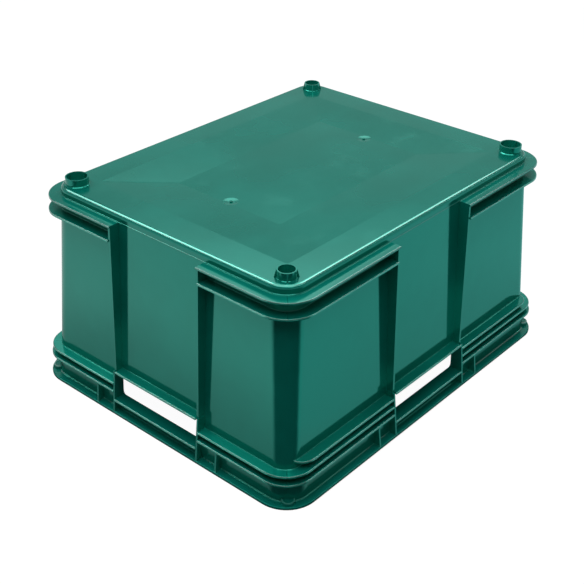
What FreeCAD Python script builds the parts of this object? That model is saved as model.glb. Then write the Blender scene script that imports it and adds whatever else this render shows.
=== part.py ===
import FreeCAD, Part
import os
import re
import Sketcher
from FreeCAD import Placement, Rotation, Vector

# Euro container, standing on its rim with the base up.
# X runs along the long sides, Y along the short sides, Z up.
# The origin is the middle of the rim's underside. Millimetres.

doc = FreeCAD.newDocument("container")
sheet = doc.addObject("Spreadsheet::Sheet", "sizes")

SIZES = (
    # drafted wall, in half lengths; everything outside it is set out from it
    ("wall_foot", 24.0),
    ("wall_head", 205.0),
    ("wall_thick", 2.2),
    ("wall_foot_long", 202.8),
    ("wall_foot_short", 160.7),
    ("wall_foot_corner", 16.5),
    ("wall_draft_long", 11.2),
    ("wall_draft_short", 9.7),
    ("wall_head_corner", 21.0),
    # recessed band between the rim flange and the rim ledge
    ("band_out_long", 3.7),
    ("band_out_short", 5.8),
    ("band_corner", 24.5),
    ("band_thick", 2.5),
    ("band_toe", 0.9),
    ("web_place", 82.3),
    ("web_thick", 2.0),
    ("web_in", 0.9),
    # rim flange
    ("rim_over", 8.5),
    ("rim_thick", 2.5),
    ("rim_round", 0.8),
    ("socket_inset_x", 15.2),
    ("socket_inset_y", 15.5),
    ("socket_radius", 7.0),
    ("socket_taper", 0.8),
    ("socket_high", 3.5),
    # base panel
    ("base_over", 0.3),
    ("base_corner", 22.5),
    ("base_deep", 8.5),
    ("base_thick", 3.0),
    ("base_round", 4.0),
    ("dish_deep", 1.8),
    ("dish_long", 158.0),
    ("dish_short", 120.0),
    ("dish_corner", 3.0),
    ("plateau_long", 106.0),
    ("plateau_short", 65.0),
    ("plateau_corner", 2.0),
    ("gate_place", 101.0),
    ("gate_dimple", 7.5),
    ("gate_dimple_deep", 0.6),
    ("gate_radius", 1.5),
    ("gate_high", 0.9),
    # ledges round the corners: two under the base, set out from the wall's
    # head, and the lower ones, set in from the rim's edge and leaning inward
    ("ledge_thick", 2.0),
    ("lip_round", 0.7),
    ("upper_over_long", 11.9),
    ("upper_over_short", 12.5),
    ("upper_corner", 33.0),
    ("second_over", 0.9),
    ("second_top", 190.5),
    ("lower_corner", 30.0),
    ("ledge_step", 8.8),
    ("lip_lean", 1.0),
    ("flank_end", 11.2),
    ("flank_corner", 15.8),
    # hand slots
    ("slot_middle", 31.8),
    ("slot_half_high", 15.0),
    ("slot_half_wide", 56.6),
    ("slot_corner", 3.5),
    ("sill_in_long", 1.0),
    ("sill_in_short", 2.0),
    ("jamb_thick", 1.9),
    ("jamb_head_in", 1.0),
    ("jamb_foot_in", 0.6),
    # upright ribs beside the middle panels
    ("rib_thick", 2.5),
    ("rib_deep", 7.0),
    ("rib_head_in", 1.0),
    ("rib_step", 0.7),
    # feet on the base: plain rings and finned pegs
    ("foot_inset_x", 17.7),
    ("foot_inset_y", 18.0),
    ("foot_high", 7.5),
    ("foot_wall", 1.3),
    ("ring_radius", 11.3),
    ("ring_collar", 0.8),
    ("ring_fin_thick", 0.9),
    ("ring_fin_deep", 0.8),
    ("ring_fin_bite", 0.6),
    ("peg_radius", 8.7),
    ("peg_collar", 0.5),
    ("peg_fin_thick", 1.3),
    ("peg_fin_deep", 1.9),
    # reach of the cutting shapes, inside and outside the walls
    ("inside_deep", 4.4),
    ("reach", 300.0),
)

size = dict(SIZES)
for row, (alias, number_of_mm) in enumerate(SIZES, 1):
    sheet.set("A%d" % row, alias)
    sheet.set("B%d" % row, str(number_of_mm))
    sheet.setAlias("B%d" % row, alias)
doc.recompute()


def bind(thing, prop, text):
    thing.setExpression(prop, re.sub(r"[a-z][a-z_]*", r"sizes.\g<0>", text))


def number(text):
    total = 0.0
    sign = 1.0
    for word in text.split():
        if word == "-":
            sign = -1.0
        elif word == "+":
            sign = 1.0
        else:
            total += sign * (size[word] if word in size else float(word))
            sign = 1.0
    return total


def fix(sketch, constraint, name, text):
    sketch.renameConstraint(sketch.addConstraint(constraint), name)
    bind(sketch, "Constraints." + name, text)


# Sketch contents: a rounded rectangle round the sketch's origin.
def rounded(sketch, half_x, half_y, corner):
    x = number(half_x)
    y = number(half_y)
    r = number(corner)
    quarter = 1.5707963267948966
    up = Vector(0, 0, 1)
    sides = (
        ((r - x, -y), (x - r, -y), (x - r, r - y), 3),
        ((x, r - y), (x, y - r), (x - r, y - r), 0),
        ((x - r, y), (r - x, y), (r - x, y - r), 1),
        ((-x, y - r), (-x, r - y), (r - x, r - y), 2),
    )
    for start, end, centre, turn in sides:
        sketch.addGeometry(Part.LineSegment(Vector(*start, 0), Vector(*end, 0)))
        circle = Part.Circle(Vector(*centre, 0), up, r)
        arc = Part.ArcOfCircle(circle, turn * quarter, turn * quarter + quarter)
        sketch.addGeometry(arc)
    for k in range(8):
        tangent = Sketcher.Constraint("Tangent", k, 2, (k + 1) % 8, 1)
        sketch.addConstraint(tangent)
    for k in (0, 4):
        sketch.addConstraint(Sketcher.Constraint("Horizontal", k))
        sketch.addConstraint(Sketcher.Constraint("Vertical", k + 2))
    for k in (1, 3, 5):
        sketch.addConstraint(Sketcher.Constraint("Equal", k, k + 2))
    fix(sketch, Sketcher.Constraint("Radius", 1, r), "corner", corner)
    right = Sketcher.Constraint("DistanceX", -1, 1, 2, 1, x)
    left = Sketcher.Constraint("DistanceX", 6, 1, -1, 1, x)
    top = Sketcher.Constraint("DistanceY", -1, 1, 4, 1, y)
    bottom = Sketcher.Constraint("DistanceY", 0, 1, -1, 1, y)
    fix(sketch, right, "right", half_x)
    fix(sketch, left, "left", half_x)
    fix(sketch, top, "top", half_y)
    fix(sketch, bottom, "bottom", half_y)

# Sketch contents: a closed outline through points on the positive side of
# both axes.
def outline(sketch, points):
    places = [Vector(number(a), number(b), 0) for a, b in points]
    for k, start in enumerate(places):
        sketch.addGeometry(Part.LineSegment(start, places[(k + 1) % len(places)]))
    for k in range(len(places)):
        meet = Sketcher.Constraint("Coincident", k, 2, (k + 1) % len(places), 1)
        sketch.addConstraint(meet)
    for k, (a, b) in enumerate(points):
        across = Sketcher.Constraint("DistanceX", -1, 1, k, 1, places[k].x)
        upward = Sketcher.Constraint("DistanceY", -1, 1, k, 1, places[k].y)
        fix(sketch, across, "across%d" % k, a)
        fix(sketch, upward, "upward%d" % k, b)


def sketch_on(body, name, plane, offset):
    sketch = body.newObject("Sketcher::SketchObject", name)
    for feature in body.Origin.OriginFeatures:
        if feature.Role == plane:
            sketch.AttachmentSupport = [(feature, "")]
    sketch.MapMode = "FlatFace"
    bind(sketch, "AttachmentOffset.Base.z", offset)
    return sketch


def turned(thing, degrees):
    thing.Placement = Placement(Vector(0, 0, 0), Rotation(Vector(0, 0, 1), degrees))


# A flat plate with rounded corners; `round_top` rounds its upper edge.
def plate(name, half_x, half_y, corner, foot, thick, round_top=None):
    body = doc.addObject("PartDesign::Body", name)
    sketch = sketch_on(body, name + "_outline", "XY_Plane", foot)
    rounded(sketch, half_x, half_y, corner)
    pad = body.newObject("PartDesign::Pad", name + "_pad")
    pad.Profile = sketch
    bind(pad, "Length", thick)
    if round_top:
        doc.recompute()
        faces = pad.Shape.Faces
        top = max(range(len(faces)), key=lambda k: faces[k].CenterOfMass.z)
        edge = body.newObject("PartDesign::Fillet", name + "_edge")
        edge.Base = (pad, ["Face%d" % (top + 1)])
        bind(edge, "Radius", round_top)
    return body


# A drafted block between two rounded rectangles at two levels.
def drafted(name, low, high):
    sections = []
    for part_name, (half_x, half_y, corner, level) in (("_low", low), ("_high", high)):
        sketch = doc.addObject("Sketcher::SketchObject", name + part_name)
        rounded(sketch, half_x, half_y, corner)
        bind(sketch, "Placement.Base.z", level)
        sections.append(sketch)
    loft = doc.addObject("Part::Loft", name)
    loft.Sections = sections
    loft.Solid = True
    loft.Ruled = True
    return loft


# A bar with an upright section, `place` along one side of the container.
# The section's first coordinate runs outward, its second upward.
def bar(name, side, points, place, wide):
    body = doc.addObject("PartDesign::Body", name)
    sketch = sketch_on(body, name + "_section", "XZ_Plane", place)
    outline(sketch, points)
    pad = body.newObject("PartDesign::Pad", name + "_pad")
    pad.Profile = sketch
    pad.SideType = "Symmetric"
    bind(pad, "Length", wide)
    turned(body, side)
    return body


def block(name, x, y, z, long, wide, high):
    box = doc.addObject("Part::Box", name)
    bind(box, "Placement.Base.x", x)
    bind(box, "Placement.Base.y", y)
    bind(box, "Placement.Base.z", z)
    bind(box, "Length", long)
    bind(box, "Width", wide)
    bind(box, "Height", high)
    return box


def combine(kind, name, first, second):
    result = doc.addObject("Part::" + kind, name)
    result.Base = first
    result.Tool = second
    result.Refine = True
    return result


def cut(name, first, *tools):
    for k, tool in enumerate(tools):
        last = k == len(tools) - 1
        first = combine("Cut", name if last else name + "_less", first, tool)
    return first


def common(name, first, second):
    return combine("Common", name, first, second)


def fuse(name, *shapes):
    first = shapes[0]
    for k, shape in enumerate(shapes[1:], 1):
        last = k == len(shapes) - 1
        first = combine("Fuse", name if last else name + "_with", first, shape)
    return first


NODES = []


def node(name, thing):
    thing.Label = name
    NODES.append(thing)
    return thing


# The four sides, by the angle that turns +X onto their outward direction,
# and the four corners, by the direction of their diagonal.
SIDES = {
    "right": (0, "long", ("front", "back")),
    "back": (90, "short", ("right", "left")),
    "left": (180, "long", ("back", "front")),
    "front": (270, "short", ("left", "right")),
}
CORNERS = {
    "front_left": (-1, -1),
    "front_right": (1, -1),
    "back_left": (-1, 1),
    "back_right": (1, 1),
}

# Levels, upward from the floor.
SLOT_TOP = "slot_middle + slot_half_high"
SLOT_FOOT = "slot_middle - slot_half_high"
SILL_UNDER = SLOT_FOOT + " - ledge_thick"
HANDLE_TOP = SLOT_TOP + " + ledge_thick"
LOWER_FOOT = "wall_foot + ledge_step"
FLANK_FOOT = LOWER_FOOT + " + ledge_step"
BASE_TOP = "wall_head + base_deep"
FOOT_TOP = BASE_TOP + " + foot_high"

# Places along a side, outward from its middle.
JAMB_OUT = "slot_half_wide + jamb_thick"
RIB_OUT = JAMB_OUT + " - rib_step"
RIB_IN = RIB_OUT + " - rib_thick"

# Distances of the faces from the middle of the container, by kind of side.
WALL_FOOT = {}
WALL_HEAD = {}
INSIDE = {}
BASE = {}
UPPER = {}
BAND = {}
BAND_IN = {}
RIM = {}
SILL = {}
RIM_LEDGE = {}
LOWER = {}
FLANK = {}
for kind in ("long", "short"):
    WALL_FOOT[kind] = "wall_foot_" + kind
    WALL_HEAD[kind] = WALL_FOOT[kind] + " - wall_draft_" + kind
    INSIDE[kind] = WALL_HEAD[kind] + " - wall_thick - inside_deep"
    BASE[kind] = WALL_HEAD[kind] + " + base_over"
    UPPER[kind] = WALL_HEAD[kind] + " + upper_over_" + kind
    BAND[kind] = WALL_FOOT[kind] + " + band_out_" + kind
    BAND_IN[kind] = BAND[kind] + " - band_thick"
    RIM[kind] = BAND[kind] + " + rim_over"
    SILL[kind] = RIM[kind] + " - sill_in_" + kind
    RIM_LEDGE[kind] = SILL[kind] + " - lip_lean"
    LOWER[kind] = RIM_LEDGE[kind] + " - lip_lean"
    FLANK[kind] = LOWER[kind] + " - lip_lean"

# Wall: a shell between two drafted blocks.
wall_outer = drafted(
    "wall_outer",
    (WALL_FOOT["long"], WALL_FOOT["short"], "wall_foot_corner", "wall_foot"),
    (WALL_HEAD["long"], WALL_HEAD["short"], "wall_head_corner", "wall_head"),
)
cavity = drafted(
    "cavity",
    (
        WALL_FOOT["long"] + " - wall_thick",
        WALL_FOOT["short"] + " - wall_thick",
        "wall_foot_corner - wall_thick",
        "wall_foot",
    ),
    (
        WALL_HEAD["long"] + " - wall_thick",
        WALL_HEAD["short"] + " - wall_thick",
        "wall_head_corner - wall_thick",
        "wall_head",
    ),
)
cavity_foot = plate(
    "cavity_foot",
    WALL_FOOT["long"] + " - wall_thick",
    WALL_FOOT["short"] + " - wall_thick",
    "wall_foot_corner - wall_thick",
    "0",
    "wall_foot",
)
wall_shell = cut("wall_shell", wall_outer, cavity)


# One quarter of the container, from `start` beside each side's middle.
def quarter_block(name, corner, start):
    sx, sy = CORNERS[corner]
    far = "reach - (" + start + ")"
    x = start if sx > 0 else "0 - reach"
    y = start if sy > 0 else "0 - reach"
    return block(name, x, y, "0", far, far, "reach")


upper_quarter = {}
second_quarter = {}
lower_quarter = {}
for corner in CORNERS:
    upper_quarter[corner] = quarter_block("upper_quarter_" + corner, corner, RIB_IN)
    second_quarter[corner] = quarter_block("second_quarter_" + corner, corner, RIB_OUT)
    lower_quarter[corner] = quarter_block("lower_quarter_" + corner, corner, JAMB_OUT)

# Corner walls, from hand slot to hand slot round each corner.
for corner in CORNERS:
    node("corner_wall_" + corner, common("corner_wall_" + corner, wall_shell, lower_quarter[corner]))

# Middle panels over the hand slots, the slots' upper corners rounded.
panels = {}
panel_zones = {}
slots = {}
for side, (angle, kind, ends) in SIDES.items():
    slot = doc.addObject("PartDesign::Body", side + "_slot")
    shape = sketch_on(slot, side + "_slot_outline", "YZ_Plane", INSIDE["short"] + " - slot_corner")
    rounded(shape, "slot_half_wide", "slot_half_high", "slot_corner")
    bind(shape, "AttachmentOffset.Base.y", "slot_middle")
    pad = slot.newObject("PartDesign::Pad", side + "_slot_pad")
    pad.Profile = shape
    bind(pad, "Length", "reach")
    turned(slot, angle)
    slots[side] = slot
    wide_points = (
        ("10", SLOT_TOP),
        ("reach", SLOT_TOP),
        ("reach", "wall_head"),
        ("10", "wall_head"),
    )
    narrow_points = (
        ("10", SLOT_TOP + " - slot_corner"),
        ("reach", SLOT_TOP + " - slot_corner"),
        ("reach", SLOT_TOP),
        ("10", SLOT_TOP),
    )
    wide = bar(side + "_panel_zone", angle, wide_points, "0", "2 * (" + JAMB_OUT + ")")
    narrow = bar(side + "_slot_zone", angle, narrow_points, "0", "2 * slot_half_wide")
    zone = fuse(side + "_zone", wide, narrow)
    panel = common(side + "_panel_blank", wall_shell, zone)
    panel_zones[side] = wide
    panels[side] = node(side + "_wall_panel", cut(side + "_wall_panel", panel, slot))

# The uppermost ledge's plate, which also ends the ribs.
upper_plate = plate(
    "upper_plate",
    UPPER["long"],
    UPPER["short"],
    "upper_corner",
    "wall_head - ledge_thick",
    "ledge_thick",
    "lip_round",
)

# Upright ribs from the upper ledge down to the rim. The lower part of each
# is the hand slot's jamb and stands a little further from the middle.
ribs = {}
for side, (angle, kind, ends) in SIDES.items():
    inside = INSIDE[kind]
    upper_points = (
        (inside, "wall_foot"),
        (WALL_FOOT[kind] + " + rib_deep", "wall_foot"),
        (UPPER[kind] + " - rib_head_in", "wall_head - ledge_thick"),
        (inside, "wall_head - ledge_thick"),
    )
    lower_points = (
        (inside, SILL_UNDER),
        (BAND_IN[kind], SILL_UNDER),
        (BAND_IN[kind], "rim_thick"),
        (RIM[kind] + " - jamb_foot_in", "rim_thick"),
        (FLANK[kind] + " - jamb_head_in", HANDLE_TOP),
        (inside, HANDLE_TOP),
    )
    for sign, end in zip((-1, 1), ends):
        name = side + "_rib_" + end
        toward = "0 - " if sign > 0 else ""
        upper = bar(
            name + "_upper",
            angle,
            upper_points,
            toward + "(" + RIB_OUT + " - rib_thick / 2)",
            "rib_thick",
        )
        upper = common(name + "_upper_zone", upper, panel_zones[side])
        upper = cut(name + "_upper_ended", upper, upper_plate)
        lower = bar(
            name + "_lower",
            angle,
            lower_points,
            toward + "(slot_half_wide + jamb_thick / 2)",
            "jamb_thick",
        )
        both = fuse(name + "_blank", upper, lower)
        ribs[name] = node(name, cut(name, both, panels[side], cavity, cavity_foot))

# Ledges round the corners, each a plate cut to the wall's outside.
second_plate = plate(
    "second_plate",
    UPPER["long"] + " + second_over",
    UPPER["short"] + " + second_over",
    "upper_corner",
    "second_top - ledge_thick",
    "ledge_thick",
    "lip_round",
)
flank_plate = plate(
    "flank_plate",
    WALL_FOOT["long"] + " - flank_end",
    FLANK["short"],
    "flank_corner",
    FLANK_FOOT,
    "ledge_thick",
    "lip_round",
)
lower_plate = plate(
    "lower_plate",
    LOWER["long"],
    LOWER["short"],
    "lower_corner",
    LOWER_FOOT,
    "ledge_thick",
    "lip_round",
)
rim_ledge_plate = plate(
    "rim_ledge_plate",
    RIM_LEDGE["long"],
    RIM_LEDGE["short"],
    "lower_corner",
    "wall_foot",
    "ledge_thick",
    "lip_round",
)
LEDGES = (
    ("upper_ledge_", upper_plate, upper_quarter),
    ("second_ledge_", second_plate, second_quarter),
    ("flank_ledge_", flank_plate, lower_quarter),
    ("lower_ledge_", lower_plate, lower_quarter),
    ("rim_ledge_", rim_ledge_plate, lower_quarter),
)
for ledge_name, ledge_plate, quarters in LEDGES:
    ring = cut(ledge_name + "ring", ledge_plate, wall_outer)
    for corner in CORNERS:
        node(ledge_name + corner, common(ledge_name + corner, ring, quarters[corner]))


# Rounds the upper outer edge of a bar's lip, found by its place.
def round_lip(body, out, level, radius):
    doc.recompute()
    pad = body.Tip
    names = []
    for k, edge in enumerate(pad.Shape.Edges):
        box = edge.BoundBox
        along = max(box.XLength, box.YLength)
        middle = edge.CenterOfMass
        far = max(abs(middle.x), abs(middle.y))
        if along > 20 and abs(middle.z - number(level)) < 0.01 and abs(far - number(out)) < 0.01:
            names.append("Edge%d" % (k + 1))
    if len(names) != 1:
        raise ValueError("lip of " + body.Label + ": " + str(names))
    edge = body.newObject("PartDesign::Fillet", body.Name + "_lip")
    edge.Base = (pad, names)
    bind(edge, "Radius", radius)

# Handle ledge over each hand slot, and the sill with the low band under it.
for side, (angle, kind, ends) in SIDES.items():
    points = (
        (INSIDE[kind], SLOT_TOP),
        (FLANK[kind], SLOT_TOP),
        (FLANK[kind], HANDLE_TOP),
        (INSIDE[kind], HANDLE_TOP),
    )
    ledge = bar(side + "_handle_bar", angle, points, "0", "2 * (" + RIB_IN + ")")
    round_lip(ledge, FLANK[kind], HANDLE_TOP, "lip_round")
    node(side + "_handle_ledge", cut(side + "_handle_ledge", ledge, wall_outer))

for side, (angle, kind, ends) in SIDES.items():
    points = (
        (INSIDE[kind], SLOT_FOOT),
        (INSIDE[kind], SILL_UNDER),
        (BAND_IN[kind], SILL_UNDER),
        (BAND_IN[kind], "rim_thick"),
        (BAND[kind] + " + band_toe", "rim_thick"),
        (BAND[kind], "rim_thick + band_toe"),
        (BAND[kind], SILL_UNDER),
        (SILL[kind], SILL_UNDER),
        (SILL[kind], SLOT_FOOT),
    )
    sill = bar(side + "_sill_bar", angle, points, "0", "2 * slot_half_wide")
    round_lip(sill, SILL[kind], SLOT_FOOT, "lip_round")
    curb_points = (
        (INSIDE[kind], SLOT_FOOT),
        (WALL_FOOT[kind], SLOT_FOOT),
        (WALL_FOOT[kind], SLOT_FOOT + " + slot_corner"),
        (INSIDE[kind], SLOT_FOOT + " + slot_corner"),
    )
    curb = bar(side + "_sill_curb", angle, curb_points, "0", "2 * slot_half_wide")
    curb = cut(side + "_sill_coves", curb, slots[side])
    whole = fuse(side + "_sill_blank", sill, curb)
    node(side + "_slot_sill", cut(side + "_slot_sill", whole, cavity, cavity_foot))

# Rim band round each corner, its foot chamfered, with two small webs.
band_wall = plate(
    "band_wall", BAND["long"], BAND["short"], "band_corner", "rim_thick", "wall_foot - rim_thick"
)
band_foot = drafted(
    "band_foot",
    (
        BAND["long"] + " + band_toe",
        BAND["short"] + " + band_toe",
        "band_corner + band_toe",
        "rim_thick",
    ),
    (BAND["long"], BAND["short"], "band_corner", "rim_thick + band_toe"),
)
band_hollow = plate(
    "band_hollow",
    BAND_IN["long"],
    BAND_IN["short"],
    "band_corner - band_thick",
    "0",
    "wall_foot",
)
band_solid = fuse("band_solid", band_wall, band_foot)
band_ring = cut("band_ring", band_solid, band_hollow)
webs = {corner: [] for corner in CORNERS}
for side, (angle, kind, ends) in SIDES.items():
    points = (
        (BAND_IN[kind], "rim_thick"),
        (RIM[kind] + " - web_in", "rim_thick"),
        (RIM_LEDGE[kind] + " - web_in", "wall_foot"),
        (BAND_IN[kind], "wall_foot"),
    )
    for sign, end in zip((-1, 1), ends):
        toward = "0 - " if sign > 0 else ""
        name = side + "_web_" + end
        web = bar(name, angle, points, toward + "web_place", "web_thick")
        for corner in CORNERS:
            if set(corner.split("_")) == {side, end}:
                webs[corner].append(web)
for corner in CORNERS:
    arch = common("rim_band_arch_" + corner, band_ring, lower_quarter[corner])
    node("rim_band_" + corner, fuse("rim_band_" + corner, arch, *webs[corner]))

# Rim flange with a small raised socket in each corner.
rim_plate = plate(
    "rim_plate",
    RIM["long"],
    RIM["short"],
    "band_corner + rim_over",
    "0",
    "rim_thick",
    "rim_round",
)
rim_open = plate(
    "rim_open", BAND_IN["long"], BAND_IN["short"], "band_corner - band_thick", "0", "rim_thick"
)
sockets = []
for corner, (sx, sy) in CORNERS.items():
    boss = doc.addObject("Part::Cone", "socket_" + corner)
    bind(boss, "Radius1", "socket_radius")
    bind(boss, "Radius2", "socket_radius - socket_taper")
    bind(boss, "Height", "socket_high + rim_thick / 2")
    far_x = RIM["long"] + " - socket_inset_x"
    far_y = RIM["short"] + " - socket_inset_y"
    bind(boss, "Placement.Base.x", far_x if sx > 0 else "0 - (" + far_x + ")")
    bind(boss, "Placement.Base.y", far_y if sy > 0 else "0 - (" + far_y + ")")
    bind(boss, "Placement.Base.z", "rim_thick / 2")
    sockets.append(boss)
rim_solid = fuse("rim_solid", rim_plate, *sockets)
node("rim_flange", cut("rim_flange", rim_solid, rim_open, band_solid))

# Base panel: a shallow tray with a dished middle and two moulding gates.
base_solid = plate(
    "base_solid",
    BASE["long"],
    BASE["short"],
    "base_corner",
    "wall_head",
    "base_deep",
    "base_round",
)
base_hollow = plate(
    "base_hollow",
    BASE["long"] + " - wall_thick",
    BASE["short"] + " - wall_thick",
    "base_corner - wall_thick",
    "wall_head",
    "base_deep - base_thick",
)
dish = drafted(
    "dish",
    ("plateau_long", "plateau_short", "plateau_corner", BASE_TOP + " - dish_deep"),
    ("dish_long", "dish_short", "dish_corner", BASE_TOP),
)
crown = drafted(
    "crown",
    (
        "plateau_long",
        "plateau_short",
        "plateau_corner",
        BASE_TOP + " - base_thick - dish_deep",
    ),
    ("dish_long", "dish_short", "dish_corner", BASE_TOP + " - base_thick"),
)
tray = cut("base_tray", base_solid, base_hollow, dish)
tray = fuse("base_crowned", tray, crown)
for end, sign in (("left", "0 - "), ("right", "")):
    ball = doc.addObject("Part::Sphere", "gate_dimple_" + end)
    ball_radius = "(gate_dimple ^ 2 / gate_dimple_deep + gate_dimple_deep) / 2"
    plateau = BASE_TOP + " - dish_deep"
    bind(ball, "Radius", ball_radius)
    bind(ball, "Placement.Base.x", sign + "gate_place")
    bind(ball, "Placement.Base.z", plateau + " - gate_dimple_deep + " + ball_radius)
    tray = cut("base_dimpled_" + end, tray, ball)
    nub = doc.addObject("Part::Cylinder", "gate_nub_" + end)
    bind(nub, "Radius", "gate_radius")
    bind(nub, "Height", "gate_high + gate_dimple_deep")
    bind(nub, "Placement.Base.x", sign + "gate_place")
    bind(nub, "Placement.Base.z", plateau + " - 2 * gate_dimple_deep")
    tray = fuse("base_gated_" + end, tray, nub)
node("base_panel", tray)


# Feet: two rings and two pegs on opposite diagonals, with small fins.
def at_foot(body, corner, degrees):
    sx, sy = CORNERS[corner]
    turned(body, degrees)
    far_x = BASE["long"] + " - foot_inset_x"
    far_y = BASE["short"] + " - foot_inset_y"
    bind(body, "Placement.Base.x", far_x if sx > 0 else "0 - (" + far_x + ")")
    bind(body, "Placement.Base.y", far_y if sy > 0 else "0 - (" + far_y + ")")


def foot(name, corner, points, fin_points, fin_thick, fin_turn):
    body = doc.addObject("PartDesign::Body", name + "_body")
    section = sketch_on(body, name + "_section", "XZ_Plane", "0")
    outline(section, points)
    turn = body.newObject("PartDesign::Revolution", name + "_turn")
    turn.Profile = section
    turn.ReferenceAxis = (section, ["V_Axis"])
    turn.Angle = 360
    at_foot(body, corner, 0)
    fins = []
    for k in range(4):
        fin = bar(name + "_fin%d" % k, 0, fin_points, "0", fin_thick)
        at_foot(fin, corner, fin_turn + 90 * k)
        fins.append(fin)
    node(name, fuse(name, body, *fins))


for corner in ("back_left", "front_right"):
    points = (
        ("ring_radius - foot_wall", BASE_TOP),
        ("ring_radius + ring_collar", BASE_TOP),
        ("ring_radius", BASE_TOP + " + ring_collar"),
        ("ring_radius", FOOT_TOP),
        ("ring_radius - foot_wall", FOOT_TOP),
    )
    fin_points = (
        ("ring_radius - foot_wall - ring_fin_deep", BASE_TOP),
        ("ring_radius - ring_fin_bite", BASE_TOP),
        ("ring_radius - ring_fin_bite", FOOT_TOP + " - ring_collar"),
        ("ring_radius - foot_wall - ring_fin_deep", FOOT_TOP + " - ring_collar"),
    )
    foot("foot_ring_" + corner, corner, points, fin_points, "ring_fin_thick", 0)
for corner in ("front_left", "back_right"):
    points = (
        ("peg_radius - foot_wall", BASE_TOP),
        ("peg_radius + peg_collar", BASE_TOP),
        ("peg_radius", BASE_TOP + " + peg_collar"),
        ("peg_radius", FOOT_TOP),
        ("peg_radius - foot_wall", FOOT_TOP),
    )
    fin_points = (
        ("peg_radius - foot_wall", BASE_TOP),
        ("peg_radius + peg_fin_deep", BASE_TOP),
        ("peg_radius", FOOT_TOP),
        ("peg_radius - foot_wall", FOOT_TOP),
    )
    foot("foot_peg_" + corner, corner, points, fin_points, "peg_fin_thick", 45)

doc.recompute()
for thing in doc.Objects:
    if "Invalid" in thing.State or "Error" in thing.State:
        raise ValueError(thing.Label + ": " + str(thing.State))
for thing in NODES:
    if thing.Shape.isNull() or not thing.Shape.isValid():
        raise ValueError(thing.Label + " has no valid shape")
os.makedirs("parts", exist_ok=True)
for thing in NODES:
    thing.Shape.exportStep("parts/" + thing.Label + ".step")
    solids = len(thing.Shape.Solids)
    print(thing.Label, "solids", solids, "volume", round(thing.Shape.Volume))
print(len(NODES), "nodes")
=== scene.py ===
import math

import bmesh
import bpy
from mathutils import Matrix, Vector


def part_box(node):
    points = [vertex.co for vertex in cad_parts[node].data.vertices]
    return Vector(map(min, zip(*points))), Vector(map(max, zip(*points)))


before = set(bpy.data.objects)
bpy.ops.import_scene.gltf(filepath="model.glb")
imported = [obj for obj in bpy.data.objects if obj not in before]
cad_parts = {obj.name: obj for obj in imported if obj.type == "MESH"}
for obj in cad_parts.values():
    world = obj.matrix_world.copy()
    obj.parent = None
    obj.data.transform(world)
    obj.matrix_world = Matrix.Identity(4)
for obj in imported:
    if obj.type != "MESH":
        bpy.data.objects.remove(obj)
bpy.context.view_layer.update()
scene = bpy.context.scene
scene.view_settings.view_transform = "Standard"

# Camera: where the photographer stood, about a metre from the container's
# middle and two thirds of a metre up, with the horizon a trace out of level.
CAMERA_PLACE = (-0.75725, -0.64000, 0.66074)
BACKWARD = Vector((-0.6510, -0.5592, 0.5131)).normalized()
SIDEWAYS = Vector((0.6515, -0.7585, 0.0)).normalized()
ROLL = math.radians(0.70)
upright = BACKWARD.cross(SIDEWAYS).normalized()
right = SIDEWAYS * math.cos(ROLL) + upright * math.sin(ROLL)
up = upright * math.cos(ROLL) - SIDEWAYS * math.sin(ROLL)
camera_data = bpy.data.cameras.new("camera")
camera_data.sensor_width = 36.0
camera_data.lens = 67.04
camera_data.clip_start = 0.05
camera_data.clip_end = 60.0
camera = bpy.data.objects.new("camera", camera_data)
scene.collection.objects.link(camera)
turn = Matrix((right, up, BACKWARD)).transposed().to_4x4()
camera.matrix_world = Matrix.Translation(CAMERA_PLACE) @ turn
scene.camera = camera

# Rim flange: the plate round the open mouth, on which the container stands
# here, with a small raised socket in each corner, round whose edge a highlight
# is painted paler. Like every piece it is teal polypropylene, moulded in one
# with the rest, and handling has dulled it.
DEEP_TEAL = (0.0010, 0.145, 0.110)
FULL_TEAL = (0.0020, 0.180, 0.138)
SHEEN_TEAL = (0.10, 1.0, 0.77, 1.0)
# The paler teal below is a painted highlight on edges, roots and socket rims.
PAINTED_HIGHLIGHT_TEAL = (0.12, 0.50, 0.40, 1.0)
PARTING_SHADOW = (0.0002, 0.012, 0.009, 1.0)
PAINTED_HIGHLIGHT_SHARE = 0.25
MOULD_GLOSS = 2.4
COAT_GLOSS = 1.8
COAT_ROUGH = 0.06
SCUFF_ROUGH = 0.04
GRAIN_ROUGH = 0.02
FINE_PEEL = 0.000002
PARTING_EDGE = (0.00035, 0.0001)
PARTING_PROUD = 0.00008
PARTING_TOP = (0.206, 0.2055)
FLANGE_ROUGH = 0.16
FLANGE_GLOSS = 1.6
SOCKET_LONG = 0.1998
SOCKET_WIDE = 0.1595
SOCKET_RADIUS = 0.0062
SOCKET_TOP = (0.0050, 0.0054)
SOCKET_EDGE = (0.0013, 0.0009)
SOCKET_MIDDLE = (0.0008, 0.0028)
SOCKET_DISH = 0.0009
SOCKET_PAINTED_HIGHLIGHT = 0.4


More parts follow.
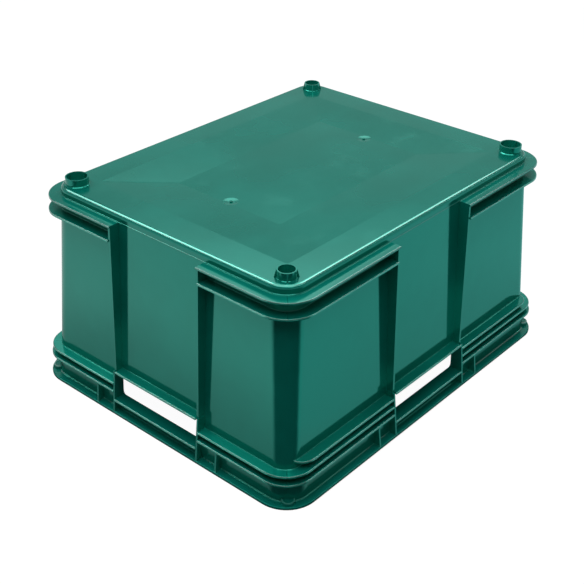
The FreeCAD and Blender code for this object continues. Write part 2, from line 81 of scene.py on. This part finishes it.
class Value:
    """A node's output that takes part in sums, so that a node tree reads as formulas."""

    def __init__(self, graph, socket):
        self.graph = graph
        self.socket = socket

    def __add__(self, other):
        return self.graph.math("ADD", self, other)

    def __radd__(self, other):
        return self.graph.math("ADD", other, self)

    def __sub__(self, other):
        return self.graph.math("SUBTRACT", self, other)

    def __rsub__(self, other):
        return self.graph.math("SUBTRACT", other, self)

    def __mul__(self, other):
        return self.graph.math("MULTIPLY", self, other)

    def __rmul__(self, other):
        return self.graph.math("MULTIPLY", other, self)

    def __truediv__(self, other):
        return self.graph.math("DIVIDE", self, other)

    def __rtruediv__(self, other):
        return self.graph.math("DIVIDE", other, self)

    def __abs__(self):
        return self.graph.math("ABSOLUTE", self)

    def ramp(self, low, high):
        """0 below low, 1 above high and smooth between; low may be the larger."""
        flip = low > high
        inputs = {
            "Value": self,
            "From Min": min(low, high),
            "From Max": max(low, high),
            "To Min": 1.0 if flip else 0.0,
            "To Max": 0.0 if flip else 1.0,
        }
        return self.graph.node("ShaderNodeMapRange", {"interpolation_type": "SMOOTHSTEP"}, inputs)


class Graph:
    """The node tree of a material or of the world."""

    def __init__(self, tree):
        self.tree = tree
        tree.nodes.clear()

    def node(self, kind, settings=None, inputs=None, output=0):
        """Adds a node: its settings, then its inputs. Gives one output, or all for None."""
        made = self.tree.nodes.new(kind)
        for name, setting in (settings or {}).items():
            setattr(made, name, setting)
        for key, item in (inputs or {}).items():
            if isinstance(item, Value):
                self.tree.links.new(item.socket, made.inputs[key])
            else:
                made.inputs[key].default_value = item
        if output is None:
            return {found.name: Value(self, found) for found in made.outputs}
        return Value(self, made.outputs[output])

    def math(self, operation, *items):
        """One step of a sum."""
        return self.node("ShaderNodeMath", {"operation": operation}, dict(enumerate(items)))

    def length(self, across, along):
        """How long a level line is that goes so far across and so far along."""
        return self.math("SQRT", across * across + along * along)

    def split(self, vector):
        """The X, Y and Z of a vector."""
        parts = self.node("ShaderNodeSeparateXYZ", inputs={0: vector}, output=None)
        return parts["X"], parts["Y"], parts["Z"]

    def noise(self, where, scale, detail, rough):
        """Soft cloudy noise, so many waves to the metre."""
        inputs = {"Vector": where, "Scale": scale, "Detail": detail, "Roughness": rough}
        return self.node("ShaderNodeTexNoise", inputs=inputs, output="Fac")

    def blend(self, factor, first, second):
        """A colour between two colours. Sockets 6 and 7 of a Mix node are its colours."""
        inputs = {0: factor, 6: first, 7: second}
        return self.node("ShaderNodeMix", {"data_type": "RGBA"}, inputs, 2)


class Plastic(Graph):
    """The container's plastic on one kind of piece, given its features one by one."""

    def __init__(self, name, rough, peel=FINE_PEEL, seam=0.0, tone=1.0, gloss=MOULD_GLOSS):
        """Cloudy teal with orange peel, a few scuffs and the mould's parting line, along which a
        shadow is painted dark.
        """
        self.material = bpy.data.materials.new(name)
        self.material.use_nodes = True
        super().__init__(self.material.node_tree)
        where = self.node("ShaderNodeTexCoord", output="Object")
        self.x, self.y, self.z = self.split(where)
        cloud = self.noise(where, scale=9.0, detail=3.0, rough=0.55).ramp(0.35, 0.65)
        grain = self.noise(where, scale=140.0, detail=2.0, rough=0.5)
        scuffs = self.noise(where, scale=26.0, detail=4.0, rough=0.6).ramp(0.52, 0.75)
        # tone paints the colour lighter or darker than the plastic is, as painted light or shade.
        deep = tuple(part * tone for part in DEEP_TEAL) + (1.0,)
        full = tuple(part * tone for part in FULL_TEAL) + (1.0,)
        half_long, half_wide, _ = spread("corner_wall_")
        corner_middle = abs(abs(self.x) - abs(self.y) - (half_long - half_wide))
        parting = corner_middle.ramp(*PARTING_EDGE) * self.z.ramp(*PARTING_TOP)
        self.colour = self.blend(cloud, deep, full)
        # Painted shadow: a dark line along the parting line.
        self.colour = self.blend(parting * seam, self.colour, PARTING_SHADOW)
        self.roughness = rough + scuffs * SCUFF_ROUGH + grain * GRAIN_ROUGH
        self.height = grain * peel + parting * PARTING_PROUD
        self.polish = 0.0
        self.gloss = gloss

    def paint_highlight(self, place, share=PAINTED_HIGHLIGHT_SHARE):
        """Paints a highlight: the plastic paler, by a share at the place."""
        self.colour = self.blend(place * share, self.colour, PAINTED_HIGHLIGHT_TEAL)

    def shine(self, place):
        """Polishes the plastic at the place."""
        self.polish = self.math("MAXIMUM", self.polish, place)

    def finish(self):
        """Joins the features into the material's surface."""
        bump = {"Strength": 1.0, "Distance": 1.0, "Height": self.height}
        inputs = {
            "Base Color": self.colour,
            "Roughness": self.roughness,
            "Normal": self.node("ShaderNodeBump", inputs=bump),
            "IOR": self.gloss,
            "Specular Tint": SHEEN_TEAL,
            "Coat Weight": self.polish,
            "Coat IOR": COAT_GLOSS,
            "Coat Roughness": COAT_ROUGH,
        }
        surface = self.node("ShaderNodeBsdfPrincipled", inputs=inputs)
        self.node("ShaderNodeOutputMaterial", inputs={"Surface": surface}, output=None)
        return self.material


def spread(words):
    """Half the length, half the width and the top of the pieces with these words in their names."""
    tops = [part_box(name)[1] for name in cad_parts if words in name]
    return [max(top[axis] for top in tops) for axis in range(3)]


def dress(words, plastic):
    """Gives a plastic to every piece with these words in its name."""
    material = plastic.finish()
    for name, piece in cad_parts.items():
        if words in name:
            piece.data.materials.clear()
            piece.data.materials.append(material)


flange = Plastic("rim_plastic", FLANGE_ROUGH, gloss=FLANGE_GLOSS)
from_socket = flange.length(abs(flange.x) - SOCKET_LONG, abs(flange.y) - SOCKET_WIDE)
inward = SOCKET_RADIUS - from_socket
socket_edge = inward.ramp(*SOCKET_EDGE) * flange.z.ramp(*SOCKET_TOP)
flange.height = flange.height - inward.ramp(*SOCKET_MIDDLE) * SOCKET_DISH
# Painted highlight: the socket's edge painted paler.
flange.paint_highlight(socket_edge, SOCKET_PAINTED_HIGHLIGHT)
flange.shine(socket_edge)
dress("rim_flange", flange)

# Rim bands: the recessed wall round each corner over the flange, in the same
# plastic, with two small webs that stiffen it. Moulded in one with the flange,
# on which it stands in a small fillet with a highlight painted at its root.
LEDGE_ROUGH = 0.10
FILLET_HIGH = 0.0011
FILLET_PROUD = 0.0009
ROOT_TOP = (0.0004, 0.0001)


def add_fillet(plastic, level, along=1.0):
    """A small fillet where a piece stands on another at that level, polished at its root, where a
    highlight is painted paler.
    """
    bead = plastic.z.ramp(level + FILLET_HIGH, level) * along
    under, over = ROOT_TOP
    root = bead.ramp(0.0, 0.3) * plastic.z.ramp(level - under, level - over)
    plastic.height = plastic.height + bead * FILLET_PROUD
    plastic.shine(root)
    # Painted highlight: the root painted paler.
    plastic.paint_highlight(root * bead.ramp(1.0, 0.7))


band = Plastic("rim_band_plastic", LEDGE_ROUGH)
add_fillet(band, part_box("rim_band_front_left")[0].z)
dress("rim_band_", band)

# Slot sills: the straight plate between each hand slot and the rim, by which
# fingers lift the container, with a low band under it. Moulded in one with
# the rim, with a highlight painted paler at the edge, as on every ledge.
SILL_TOP = 0.0168
SQUARE_END = 0.003
EDGE_WIDE = 0.00115
EDGE_DEEP = (0.0012, 0.0010)


def soften_edge(plastic, level, half_long, half_wide, corner, wide=EDGE_WIDE, soft=1.0):
    """A soft, polished edge round an oblong top with rounded corners, along which a highlight is
    painted paler.
    """
    over_x = plastic.math("MAXIMUM", abs(plastic.x) - (half_long - corner), 0.0)
    over_y = plastic.math("MAXIMUM", abs(plastic.y) - (half_wide - corner), 0.0)
    past_edge = plastic.length(over_x, over_y) - corner
    near = plastic.math("MAXIMUM", past_edge + wide, 0.0)
    under, over = EDGE_DEEP
    here = plastic.z.ramp(level - under, level - over)
    plastic.height = plastic.height - near * near * here * (0.5 * soft / wide)
    # Painted highlight: the edge painted paler.
    plastic.paint_highlight(past_edge.ramp(-0.6 * wide, -0.1 * wide) * here)
    plastic.shine(past_edge.ramp(-wide, -0.6 * wide) * here * (0.5 + 0.5 * soft))


def ledge_plastic(name, level, half_long, half_wide, corner, **finish):
    """The plastic of a ledge that juts out to an oblong with rounded corners, with a highlight
    painted paler along its edge.
    """
    plastic = Plastic(name, LEDGE_ROUGH, **finish)
    soften_edge(plastic, level, half_long, half_wide, corner)
    return plastic


half_long, half_wide, _ = spread("slot_sill")
dress("slot_sill", ledge_plastic("slot_sill_plastic", SILL_TOP, half_long, half_wide, SQUARE_END))

# Rim ledges: thin plates round the corners that close the recessed band at
# its top. Same plastic, moulded in one with the walls, and crossed at the
# middle of the corner by the mould's parting line, along which a shadow is
# painted dark.
PARTING_SHADOW_SHARE = 0.8
RIM_CORNER = 0.030
half_long, half_wide, rim_ledge_top = spread("rim_ledge_")
rim_ledges = ledge_plastic(
    "rim_ledge_plastic", rim_ledge_top, half_long, half_wide, RIM_CORNER, seam=PARTING_SHADOW_SHARE
)
dress("rim_ledge_", rim_ledges)

# Lower ledges: the second plates up, round the corners from slot to slot, in
# the same plastic and moulded in one with the walls. Their colour is painted a
# little brighter than the other ledges', as painted light.
LOWER_PAINTED_LIGHT = 1.35
half_long, half_wide, lower_ledge_top = spread("lower_ledge_")
lower_ledges = ledge_plastic(
    "lower_ledge_plastic",
    lower_ledge_top,
    half_long,
    half_wide,
    RIM_CORNER,
    seam=PARTING_SHADOW_SHARE,
    tone=LOWER_PAINTED_LIGHT,
)
dress("lower_ledge_", lower_ledges)

# Flank ledges: plates on the long sides only, which die out in a curve before
# the corner. Same plastic, moulded in one with the walls, and the curve would
# run half a millimetre on past the end of the plate.
FLANK_CURVE = 0.0158
FLANK_TRIM = 0.0006
flank_end, half_wide, flank_ledge_top = spread("flank_ledge_")
flank_ledges = ledge_plastic(
    "flank_ledge_plastic", flank_ledge_top, flank_end + FLANK_TRIM, half_wide, FLANK_CURVE
)
dress("flank_ledge_", flank_ledges)

# Handle ledges: the straight plates along the other side of the hand slots,
# where the middle panels end. Same plastic, moulded in one with the panels,
# with the same soft edge.
half_long, half_wide, handle_ledge_top = spread("handle_ledge")
handle_ledges = ledge_plastic(
    "handle_ledge_plastic", handle_ledge_top, half_long, half_wide, SQUARE_END
)
dress("handle_ledge", handle_ledges)

# Second ledges: thin plates round the corners just under the upper ones, in
# the same plastic. They are moulded in one with the walls and stiffen them
# near the base.
UPPER_CORNER = 0.033
half_long, half_wide, second_ledge_top = spread("second_ledge_")
second_ledges = ledge_plastic(
    "second_ledge_plastic", second_ledge_top, half_long, half_wide, UPPER_CORNER, seam=PARTING_SHADOW_SHARE
)
dress("second_ledge_", second_ledges)

# Upper ledges: plates round the corners, level with the foot of the base
# panel, in the same plastic and moulded in one with the walls. They are a
# little less glossy than the other ledges.
UPPER_GLOSS = 1.9
half_long, half_wide, upper_ledge_top = spread("upper_ledge_")
upper_ledges = ledge_plastic(
    "upper_ledge_plastic",
    upper_ledge_top,
    half_long,
    half_wide,
    UPPER_CORNER,
    seam=PARTING_SHADOW_SHARE,
    gloss=UPPER_GLOSS,
)
dress("upper_ledge_", upper_ledges)

# Corner walls: flat drafted faces round each corner, the glossiest of the
# moulding. They are moulded in one with the ledges and meet each in a small
# fillet, with a highlight painted at its root; on the long sides one more runs
# along the flank ledge.
WALL_ROUGH = 0.08
FLANK_END_FADE = 0.001
FLANK_FACE = (0.155, 0.1555)
walls = Plastic("corner_wall_plastic", WALL_ROUGH)
on_flank = abs(walls.x).ramp(flank_end + FLANK_END_FADE, flank_end) * abs(walls.y).ramp(*FLANK_FACE)
add_fillet(walls, second_ledge_top)
add_fillet(walls, flank_ledge_top, on_flank)
add_fillet(walls, lower_ledge_top)
add_fillet(walls, rim_ledge_top)
dress("corner_wall_", walls)

# Middle panels: flat drafted faces between the ribs, over the hand slots, as
# glossy as the corner walls. Same plastic, moulded in one with the handle
# ledge, on which each stands in a fillet with a highlight painted at its root.
panels = Plastic("panel_plastic", WALL_ROUGH)
add_fillet(panels, handle_ledge_top)
dress("wall_panel", panels)

# Ribs: upright fins at both sides of each middle panel, which reach out
# further at the head and end as the hand slot's jambs. Same plastic, moulded
# in one with walls and rim.
dress("_rib_", Plastic("rib_plastic", LEDGE_ROUGH))

# Base panel: a shallow tray with a dished middle and two gate marks, where
# the plastic was shot in. It is moulded in one with the walls and a little
# duller than they are; its colour is painted darker as shade, and a highlight
# is painted along its wide soft edge and at the root of its fillet.
BASE_ROUGH = 0.14
BASE_PEEL = 0.000003
# Painted shade: the base's colour painted darker than the walls'.
BASE_PAINTED_SHADE = 0.80
BASE_CORNER = 0.021
BASE_EDGE_WIDE = 0.004
BASE_EDGE_SOFT = 0.2
half_long, half_wide, base_top = spread("base_panel")
base = Plastic("base_plastic", BASE_ROUGH, peel=BASE_PEEL, tone=BASE_PAINTED_SHADE)
add_fillet(base, upper_ledge_top)
soften_edge(base, base_top, half_long, half_wide, BASE_CORNER, BASE_EDGE_WIDE, BASE_EDGE_SOFT)
dress("base_panel", base)

# Feet: two open rings and two pegs on opposite corners of the base, with
# small fins. Same plastic, moulded in one with the base panel, and hollow so
# that they cool as fast as it does.
dress("foot_", Plastic("foot_plastic", LEDGE_ROUGH))

# Floor: a level studio floor, white to the camera, that keeps the container's
# shadow. In reflections it glows, with painted shade beside the rim and darker
# still under the container, a painted dark patch off the front left corner,
# and a cooler tint to the right.
FLOOR_HALF = 6.0
UNDER_LONG = 0.195
UNDER_WIDE = 0.155
DARK_PATCH_LONG = 0.19
DARK_PATCH_WIDE = 0.15
DARK_PATCH_WAY = (-0.731, -0.682)
DARK_PATCH_SPAN = (0.15, 0.55)
RIGHT_FADE = (-0.05, 0.15)
UNDER_FADE = (0.025, 0.018)
UNDER_DARK = 0.93
BESIDE_FADE = (0.22, 0.0)
BESIDE_DARK = 0.60
BESIDE_RIGHT_LESS = 0.35
FLOOR_BRIGHT = 0.75
FLOOR_RIGHT_LESS = 0.06
DARK_PATCH_BRIGHT = 0.02
SHADOW_SHARE = 0.1
WHITE = (1.0, 1.0, 1.0, 1.0)
COOL_WHITE = (0.45, 1.0, 1.0, 1.0)
floor_mesh = bpy.data.meshes.new("floor")
sheet = bmesh.new()
bmesh.ops.create_grid(sheet, x_segments=1, y_segments=1, size=FLOOR_HALF)
sheet.to_mesh(floor_mesh)
sheet.free()
floor = bpy.data.objects.new("floor", floor_mesh)
scene.collection.objects.link(floor)
floor_material = bpy.data.materials.new("floor")
floor_material.use_nodes = True
graph = Graph(floor_material.node_tree)


def white_rays(graph):
    """The rays that see the white studio, and the mirrored rays among them."""
    rays = graph.node("ShaderNodeLightPath", output=None)
    seen = rays["Is Camera Ray"] + rays["Is Glossy Ray"] + rays["Is Transmission Ray"]
    return graph.math("MINIMUM", seen, 1.0), rays["Is Glossy Ray"]


def mixed(graph, factor, first, second):
    """A shader between two shaders."""
    return graph.node("ShaderNodeMixShader", inputs={0: factor, 1: first, 2: second})


def matt(graph, grey):
    """A matt grey, which takes shadows."""
    return graph.node("ShaderNodeBsdfDiffuse", inputs={"Color": (grey, grey, grey, 1.0)})


def glowing(graph, colour, strength):
    """A plain colour, however it is lit."""
    return graph.node("ShaderNodeEmission", inputs={"Color": colour, "Strength": strength})


seen, mirrored = white_rays(graph)
x, y, _ = graph.split(graph.node("ShaderNodeTexCoord", output="Object"))
# The glow in reflections: painted shade under the container and beside the rim, and a painted dark
# patch off the front left corner.
beside_x = graph.math("MAXIMUM", abs(x) - UNDER_LONG, 0.0)
beside_y = graph.math("MAXIMUM", abs(y) - UNDER_WIDE, 0.0)
away = graph.length(beside_x, beside_y)
under = away.ramp(*UNDER_FADE)
out_x = x + DARK_PATCH_LONG
out_y = y + DARK_PATCH_WIDE
apart = graph.math("SQRT", out_x * out_x + out_y * out_y + 0.0001)
dark_patch = ((out_x * DARK_PATCH_WAY[0] + out_y * DARK_PATCH_WAY[1]) / apart).ramp(*DARK_PATCH_SPAN)
right_side = (out_x * -DARK_PATCH_WAY[1] + out_y * DARK_PATCH_WAY[0]).ramp(*RIGHT_FADE)
shade = away.ramp(*BESIDE_FADE) * (BESIDE_DARK - right_side * BESIDE_RIGHT_LESS)
bright = (1.05 - shade) * (FLOOR_BRIGHT - right_side * FLOOR_RIGHT_LESS)
bright = (bright * (1.0 - dark_patch) + DARK_PATCH_BRIGHT) * (1.0 - under * UNDER_DARK)
straight = mixed(graph, 1.0 - SHADOW_SHARE, matt(graph, 0.9), glowing(graph, WHITE, 1.07))
tinted = mixed(graph, right_side, glowing(graph, WHITE, 1.0), glowing(graph, COOL_WHITE, 1.0))
mirror = mixed(graph, bright, glowing(graph, WHITE, 0.0), tinted)
shown = mixed(graph, mirrored, straight, mirror)
floor_surface = mixed(graph, seen, matt(graph, 0.25), shown)
graph.node("ShaderNodeOutputMaterial", inputs={"Surface": floor_surface}, output=None)
floor_mesh.materials.append(floor_material)

# Studio: white to the camera, with a weak fill on the container. Reflections
# see a grey wall that darkens upward, a bright panel over it behind the back
# right corner, and two high panels to the left and right.
PANEL_WAY = (0.755, 0.656)
PANEL_SIDES = (0.955, 0.99)
PANEL_FOOT = (0.43, 0.56)
PANEL_BRIGHT = 1.7
LEFT_WAY = (-0.26, 0.966)
RIGHT_WAY = (0.966, -0.26)
HIGH_SIDES = (0.77, 0.91)
HIGH_FOOT = (0.66, 0.74)
HIGH_HEAD = (0.92, 0.86)
HIGH_BRIGHT = 1.5
WALL_BRIGHT = 0.48
WALL_FADE = (0.36, 0.475)
WALL_LOSS = 0.38
BRIGHTEST = 4.0
FILL = 0.08
world = bpy.data.worlds.new("studio")
world.use_nodes = True
scene.world = world
graph = Graph(world.node_tree)
seen, mirrored = white_rays(graph)
along, across, upward = graph.split(graph.node("ShaderNodeTexCoord", output="Generated"))
level = graph.math("SQRT", along * along + across * across + 0.0001)


def toward(way):
    """How nearly a direction of the compass is that way: 1 for the same."""
    return (along * way[0] + across * way[1]) / level


def sky(strength):
    """White studio of that brightness, where 1 is white."""
    return graph.node("ShaderNodeBackground", inputs={"Color": WHITE, "Strength": strength})


wall = WALL_BRIGHT - upward.ramp(*WALL_FADE) * WALL_LOSS
panel = upward.ramp(*PANEL_FOOT) * toward(PANEL_WAY).ramp(*PANEL_SIDES)
high_panels = toward(LEFT_WAY).ramp(*HIGH_SIDES) + toward(RIGHT_WAY).ramp(*HIGH_SIDES)
high_panels = high_panels * upward.ramp(*HIGH_FOOT) * upward.ramp(*HIGH_HEAD)
brightness = wall + panel * PANEL_BRIGHT + high_panels * HIGH_BRIGHT
mirrored_studio = mixed(graph, brightness / BRIGHTEST, sky(0.0), sky(BRIGHTEST))
shown = mixed(graph, mirrored, sky(1.0), mirrored_studio)
world_surface = mixed(graph, seen, sky(FILL), shown)
graph.node("ShaderNodeOutputWorld", inputs={"Surface": world_surface}, output=None)

# Lamps: a softbox behind the container at either side, and a wide one nearly
# overhead. All three are square frames of white cloth, aimed at the
# container's middle.
AIM = Vector((0.0, 0.0, 0.1))


def softbox(name, place, side, watts):
    """A square lamp at a place."""
    data = bpy.data.lights.new(name, "AREA")
    data.shape = "SQUARE"
    data.size = side
    data.energy = watts
    lamp = bpy.data.objects.new(name, data)
    scene.collection.objects.link(lamp)
    turn = (Vector(place) - AIM).to_track_quat("Z", "Y").to_matrix().to_4x4()
    lamp.matrix_world = Matrix.Translation(place) @ turn


softbox("left", (-0.44, 1.21, 1.63), 1.0, 11.0)
softbox("right", (1.28, 0.05, 1.63), 1.0, 11.0)
softbox("overhead", (-0.35, -0.20, 1.7), 1.8, 22.0)
